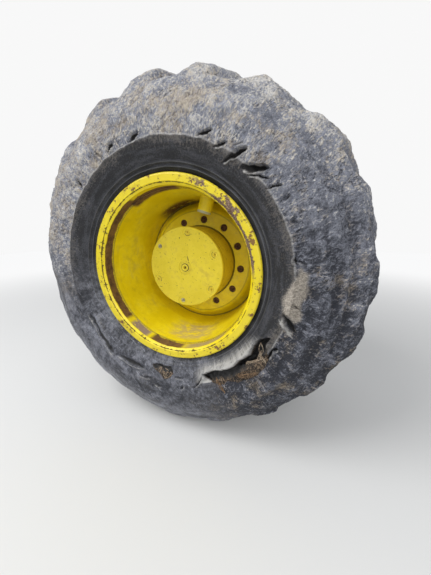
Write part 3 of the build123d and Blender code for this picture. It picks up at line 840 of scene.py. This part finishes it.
yellow = haze.mix(yellow, paint(196, 180, 92))

# Painted shade lies as dark lines in the corner by the disc, along the barrel's step and in the disc's
# bend.
corner = depth.ease(0.352, 0.364) * depth.ease(0.374, 0.368) * enamel.ring(0.292, 0.306, 0.002)
step_line = depth.ease(0.056, 0.058) * depth.ease(0.063, 0.060) * enamel.ring(0.315, 0.330, 0.001)
disc_line = enamel.ring(0.250, 0.256, 0.002) * depth.ease(0.30, 0.31)
corner_shade_lines = (corner + step_line * 0.7).larger(disc_line * 0.4)
# Painted shade in the corners.
yellow = (corner_shade_lines * (nicks * 0.9 + 0.4)).mix(yellow, paint(66, 48, 26))

# Rust runs in bands round the barrel behind the flange, where the paint has come off.
rust_tone = (blotch * 0.5 + nicks * 0.5).ease(0.35, 0.62).mix(paint(74, 50, 30), paint(124, 92, 48))
band_depth = depth + (blotch - 0.5) * 0.020
band = band_depth.ease(0.013, 0.016) * band_depth.ease(0.058, 0.054) * on_barrel
left_band = enamel.arc(121, 224, 2)
top_band = enamel.arc(86, 126, 2) * band_depth.ease(0.036, 0.040) * band_depth.ease(0.105, 0.080)
top_band = top_band * on_barrel
low_band = enamel.arc(-111, -84, 2)
mauve_band = enamel.arc(-131, -115, 2).larger(enamel.arc(-80, -48, 6) * 0.75)
rusted = (band * left_band.larger(low_band)).larger(top_band)
scuffed = band * mauve_band * (nicks * 0.8 + blotch * 0.8).ease(0.55, 0.72)

# The flange's inner edge has lost its paint in a thin, broken line, and its face in chips.
edge_off = enamel.math("ABSOLUTE", enamel.radius - (lip_radius - 0.0335))
worn_side = enamel.arc(100, 310, 20)
flange_edge = (blotch * 0.8 + nicks * 0.6 - edge_off * 95.0 + worn_side * 0.05).ease(0.60, 0.68)
edge_chips = (nicks * 0.9 + blotch * 0.5 - edge_off * 13.0 + worn_side * 0.055).ease(0.80, 0.83)
flange_edge = flange_edge.larger(edge_chips) * front_rim
flaked = (nicks * 0.6 + blotch * 0.6 + face * 0.07).ease(0.735, 0.755) * depth.ease(0.05, 0.02)
scuff_shape = enamel.noise(22.0, 3.0, 0.6, shift=3.0) * 0.75 + nicks * 0.45
bare = enamel.arc(34, 70, 5) * face * enamel.radius.ease(lip_radius + 0.002, lip_radius - 0.008)
bare = bare * scuff_shape.ease(0.59, 0.63)
inner_strip = enamel.arc(4, 60, 6) * (nicks * 0.5 - edge_off * 26.0 + blotch * 0.3).ease(0.22, 0.27)
bare = bare.larger(inner_strip * front_rim)
specks_off = pits.ease(0.720, 0.750)
near_disc = enamel.arc(98, 128, 8) * depth.ease(0.24, 0.30) * depth.ease(0.375, 0.35)
near_disc = near_disc * enamel.radius.ease(0.285, 0.295) * (blotch * 0.8 + nicks * 0.5).ease(0.52, 0.62)
smudge = enamel.arc(-100, -70, 8) * depth.ease(0.07, 0.12) * depth.ease(0.26, 0.20)
smudge = smudge * (brushed * 0.7 + blotch * 0.5).ease(0.44, 0.68) * 0.75

off = rusted.larger(flaked).larger(specks_off).larger(near_disc)
rim_colour = off.mix(yellow, rust_tone)
rim_colour = (flange_edge * 0.9).mix(rim_colour, paint(58, 40, 22))
rim_colour = scuffed.mix(rim_colour, paint(146, 126, 112))
rim_colour = smudge.mix(rim_colour, paint(176, 154, 108))
rim_colour = bare.mix(rim_colour, pits.ease(0.42, 0.62).mix(paint(86, 62, 46), paint(140, 118, 100)))
guard_end = enamel.ring(0.200, 0.2555, 0.0005) * depth.ease(0.24, 0.235)
rim_colour = guard_end.mix(rim_colour, paint(176, 176, 150))
enamel.set("Base Color", rim_colour)
worn_off = off.larger(flange_edge).larger(scuffed).larger(smudge).larger(bare)
enamel.set("Roughness", 0.36 + mottle * 0.14 + worn_off * 0.40)
chipped = enamel.bump(1.0 - worn_off, 0.0012, 0.7)
enamel.set("Normal", enamel.bump(blotch * 0.6 + pits * 0.25, 0.0014, 0.35, chipped))
coat(enamel, "rim_flange_outer", "rim_flange_inner", "rim_barrel", "rim_disc", "valve_guard")


def bead(name, radius_at, y_at, thick, count, seed):
    """A rippled weld bead that runs round the axle, as count rings of eight points."""
    chance = np.random.default_rng(seed)
    turns = np.linspace(0, math.tau, count, endpoint=False)
    ripples_round = 190
    sides = 8
    ripple = 1 + 0.16 * np.sin(turns * ripples_round) + chance.normal(0, 0.05, count)
    spokes = np.linspace(0, math.tau, sides, endpoint=False)
    out = radius_at + np.outer(ripple * thick, np.cos(spokes))
    along_axle = y_at + np.outer(ripple * thick, np.sin(spokes))
    points = np.stack([out * np.cos(turns)[:, None], along_axle, out * np.sin(turns)[:, None]], -1)
    ring_at = np.repeat(np.arange(count), sides)
    spoke_at = np.tile(np.arange(sides), count)
    next_ring = (ring_at + 1) % count
    next_spoke = (spoke_at + 1) % sides
    corners = ((ring_at, spoke_at), (ring_at, next_spoke), (next_ring, next_spoke), (next_ring, spoke_at))
    quads = np.stack([ring * sides + spoke for ring, spoke in corners], 1)
    piece = mesh_piece(name, points, quads, enamel, "wheel")


bead("weld_disc", radius_at=0.3015, y_at=lip_y + 0.3645, thick=0.0042, count=900, seed=2)
bead("weld_step", radius_at=0.3235, y_at=lip_y + 0.0595, thick=0.0026, count=1100, seed=3)

# Hub: a drum of cast iron that comes through the disc and is closed by a turned cover. It was
# sprayed together with the rim, and the cover has been rubbed and scratched since.
hub_enamel = Finish("hub enamel")
hub_depth = hub_enamel.y - lip_y
hub_mottle = hub_enamel.noise(10.0, 5.0, 0.6)
hub_blotch = hub_enamel.noise(34.0, 5.0, 0.65, shift=5.0)
hub_pits = hub_enamel.noise(120.0, 3.0, 0.65, shift=2.0)
scratch_lines = hub_enamel.noise(34.0, 5.0, 0.75, (1.0, 1.0, 9.0), turn=-24)
hub_front = hub_depth.ease(0.150, 0.146)
hub_yellow = hub_mottle.ease(0.35, 0.65).mix(paint(206, 178, 20), paint(220, 196, 40))
cover_yellow = (hub_mottle * 0.6 + hub_blotch * 0.5).ease(0.40, 0.70).mix(
    paint(204, 183, 34), paint(220, 200, 50)
)
hub_yellow = hub_front.mix(hub_yellow, cover_yellow)
hub_grime = (hub_blotch * 0.8 + hub_mottle * 0.4).ease(0.58, 0.80) * 0.45
hub_yellow = hub_grime.mix(hub_yellow, paint(154, 126, 44))

# Dark lines lie where the cover sits on the drum and round the drum's foot. Painted shade darkens the
# grooves round the plug and its socket.
joint_line = hub_depth.ease(0.1645, 0.1655) * hub_depth.ease(0.1675, 0.1665)
joint_line = joint_line * hub_enamel.radius.ease(0.170, 0.174)
foot_line = hub_depth.ease(0.296, 0.311) * hub_enamel.ring(0.150, 0.186, 0.004)
plug_shade = hub_enamel.ring(0.0155, 0.0185, 0.0008).larger(hub_enamel.ring(0.0230, 0.0240, 0.0006) * 0.5)
# Painted shade in the plug's grooves and socket.
plug_shade = (plug_shade * hub_front).larger(hub_enamel.radius.ease(0.0064, 0.0050))

# Painted shade: thin dark crescents lie round the inner sides of the four cover screws that are painted
# over, where their counterbores' walls fall into shade.
screw_margin = 0.023
screw_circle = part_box("hub_cover")[1].z - screw_margin
crescent_shade = 0.0
for screw_angle in (84, 24, -36, -156):
    beside = hub_enamel.x - screw_circle * math.cos(math.radians(screw_angle))
    above = hub_enamel.z - screw_circle * math.sin(math.radians(screw_angle))
    from_screw = hub_enamel.math("SQRT", beside * beside + above * above)
    crescent_shade = crescent_shade + from_screw.ease(0.0130, 0.0140) * from_screw.ease(0.0170, 0.0150)
inner_side = hub_enamel.radius.ease(screw_circle - 0.002, screw_circle - 0.007)
crescent_shade = crescent_shade * inner_side * hub_front
hub_marks_and_shade = joint_line.larger(foot_line * 0.5).larger(plug_shade).larger(crescent_shade * (hub_blotch * 1.6))
hub_marks_and_shade = hub_marks_and_shade.larger(hub_pits.ease(0.670, 0.690))

# A few short upright scratches lie above the plug, and fine ones cross the whole cover.
scratch = hub_enamel.noise(120.0, 3.0, 0.6, (1.0, 1.0, 5.0), turn=-8, shift=4.0).ease(0.55, 0.60)
scratch = scratch * hub_enamel.math("ABSOLUTE", hub_enamel.x - 0.018).ease(0.012, 0.007)
scratch = scratch * hub_enamel.z.ease(0.016, 0.024) * hub_enamel.z.ease(0.075, 0.060)
hub_marks_and_shade = hub_marks_and_shade.larger(scratch * hub_front)
hub_marks_and_shade = hub_marks_and_shade.larger(scratch_lines.ease(0.745, 0.765) * hub_front)
# The hub's dark marks hold scratches, pits and joint lines, and the painted shade of the plug and the
# screw crescents.
hub_colour = hub_marks_and_shade.mix(hub_yellow, paint(60, 48, 30))
hub_enamel.set("Base Color", hub_colour)
hub_enamel.set("Roughness", 0.38 + hub_mottle * 0.16 + hub_marks_and_shade * 0.35)
hub_chips = hub_enamel.bump(1.0 - hub_marks_and_shade, 0.0010, 0.6)
hub_enamel.set("Normal", hub_enamel.bump(hub_blotch * 0.5 + hub_pits * 0.3, 0.0012, 0.4, hub_chips))
coat(hub_enamel, "hub_body", "hub_drum", "hub_cover", "centre_plug")

# Cover screws: six socket-headed steel screws that hold the cover on the drum. Paint has closed
# the sockets of four of them, and two show bare steel.
screws = Finish("cover screws")
screw_spots = screws.noise(90.0, 4.0, 0.6)
clean_heads = screws.arc(132, 156, 2).larger(screws.arc(-108, -84, 2))
painted_head = screw_spots.ease(0.35, 0.65).mix(paint(196, 170, 30), paint(222, 200, 60))
steel_head = screw_spots.ease(0.35, 0.65).mix(paint(120, 108, 80), paint(206, 198, 158))
screws.set("Base Color", clean_heads.mix(painted_head, steel_head))
screws.set("Roughness", 0.45 + screw_spots * 0.25)
screws.set("Metallic", clean_heads * 0.3)
screws.set("Normal", screws.bump(screw_spots, 0.0008, 0.5))
coat(screws, "cover_screws")

# Wheel bolts: twelve socket-headed steel bolts that clamp the disc to the hub's flange. Their
# heads lie sunk in the disc, and all have rusted brown.
rust = Finish("rusted bolts")
rust_blotch = rust.noise(110.0, 5.0, 0.7)
rust_colour = rust_blotch.ease(0.36, 0.52).mix(paint(38, 28, 22), paint(92, 64, 44))
rust.set("Base Color", rust_blotch.ease(0.56, 0.70).mix(rust_colour, paint(138, 98, 60)))
rust.set("Roughness", 0.88)
rust.set("Normal", rust.bump(rust_blotch, 0.002, 0.8))
coat(rust, "wheel_bolts")

# Valve: a turned brass stem that goes through the barrel's slope and is held by its nut. It stands
# in the guard tube, and is dulled and dusty.
brass = Finish("dulled brass")
tarnish = brass.noise(120.0, 4.0, 0.6)
brass.set("Base Color", tarnish.ease(0.35, 0.65).mix(paint(92, 70, 38), paint(176, 148, 84)))
brass.set("Metallic", 0.85)
brass.set("Roughness", 0.38 + tarnish * 0.25)
brass.set("Normal", brass.bump(tarnish, 0.0006, 0.4))
coat(brass, "valve_stem")

# Gears, bearings and nut: turned and ground steel that runs in oil behind the cover. The gears are
# shown as one plain block, the bearings are pressed into the hub, and the nut is screwed onto the
# spindle's nose.
steel = Finish("oiled steel")
tool_marks = steel.streaks(2.0, 900.0, 2.0, 0.5)
oil = steel.noise(28.0, 4.0, 0.6)
steel.set("Base Color", oil.ease(0.35, 0.70).mix(paint(176, 176, 174), paint(112, 104, 88)))
steel.set("Metallic", 1.0)
steel.set("Roughness", 0.24 + tool_marks * 0.18 + oil * 0.10)
steel.set("Normal", steel.bump(tool_marks, 0.0003, 0.5))
coat(steel, "gear_block", "bearing_front", "bearing_rear", "spindle_nut")

# Seal: a moulded ring of black rubber that is pressed into the hub from behind. It keeps the oil
# in where the hub turns round the spindle.
seal = Finish("seal rubber")
seal_dust = seal.noise(60.0, 4.0, 0.6)
seal.set("Base Color", seal_dust.ease(0.45, 0.75).mix(paint(34, 34, 36), paint(84, 80, 74)))
seal.set("Roughness", 0.55 + seal_dust * 0.25)
seal.set("Normal", seal.bump(seal_dust, 0.0005, 0.4))
coat(seal, "seal_ring")

# Spindle and its guard ring: cast iron, bolted to the machine by the spindle's flange. It is rough
# and rusty brown as cast, and brighter where the flange's face and its centring recess were machined.
iron = Finish("spindle iron")
sand = iron.noise(230.0, 4.0, 0.65)
rust_film = iron.noise(18.0, 5.0, 0.65, shift=7.0)
turned = iron.streaks(2.0, 700.0, 2.0, 0.5, shift=2.0)
recess = iron.radius.ease(0.1105, 0.1095) * iron.y.ease(-0.012, -0.009)
machined = iron.y.ease(-0.0035, -0.0015).larger(recess)
cast = rust_film.ease(0.42, 0.66).mix(paint(70, 66, 62), paint(112, 78, 52))
cast = (sand * 0.8).ease(0.42, 0.56).mix(cast, paint(92, 86, 80))
faced = rust_film.ease(0.50, 0.70).mix(paint(158, 156, 150), paint(134, 112, 88))
iron.set("Base Color", machined.mix(cast, faced))
iron.set("Metallic", 0.35 + machined * 0.55)
iron.set("Roughness", 0.75 - machined * 0.38 + turned * 0.08)
iron.set("Normal", iron.bump(sand * (1.0 - machined) + turned * machined * 0.2, 0.0012, 0.6))
coat(iron, "spindle", "seal_guard")

# Floor and light: a plain pale floor under the tyre, a broad soft lamp above at the left, a weaker
# one in front at the right, and an even pale sky.
floor_finish = Finish("floor")
far_off = floor_finish.math("SQRT", floor_finish.x * floor_finish.x + floor_finish.y * floor_finish.y)
backdrop = far_off.ease(1.0, 5.5)
looked_at = floor_finish.node("ShaderNodeLightPath", out="Is Camera Ray")
floor_finish.set("Base Color", backdrop.mix(paint(222, 222, 220), paint(90, 90, 90)))
floor_finish.set("Emission Color", (backdrop * looked_at).mix((0, 0, 0, 1), (0.86, 0.86, 0.86, 1)))
floor_finish.set("Emission Strength", 1.0)
floor_finish.set("Roughness", 0.9)
floor_z = tyre_low.z - 0.001
floor_half = 9.0
floor_signs = ((-1, -1), (1, -1), (1, 1), (-1, 1))
floor_corners = [(x * floor_half, y * floor_half, floor_z) for x, y in floor_signs]
floor = mesh_piece("floor", floor_corners, [(0, 1, 2, 3)], floor_finish)

sky = bpy.data.worlds.new("sky")
sky.use_nodes = True
bpy.context.scene.world = sky
sky_tone = Tone(sky.node_tree)
seen = sky_tone.node("ShaderNodeLightPath", out="Is Camera Ray")
background = sky.node_tree.nodes["Background"]
sky_colour = seen.mix((0.88, 0.90, 0.94, 1.0), (0.94, 0.94, 0.94, 1.0))
sky.node_tree.links.new(sky_colour.socket, background.inputs["Color"])
sky.node_tree.links.new((seen * 0.42 + 0.58).socket, background.inputs["Strength"])

for name, place, size, power in (
    ("overhead", (-1.8, -2.2, 3.0), 2.2, 110.0),
    ("front", (1.8, -3.6, 1.6), 2.5, 70.0),
):
    lamp = bpy.data.lights.new(name, "AREA")
    lamp.size = size
    lamp.energy = power
    lamp_object = bpy.data.objects.new(name, lamp)
    lamp_object.location = place
    aim = Vector((0.0, tyre_middle, 0.0)) - Vector(place)
    lamp_object.rotation_mode = "QUATERNION"
    lamp_object.rotation_quaternion = aim.to_track_quat("-Z", "Y")
    bpy.context.scene.collection.objects.link(lamp_object)

bpy.context.scene.view_settings.view_transform = "Standard"
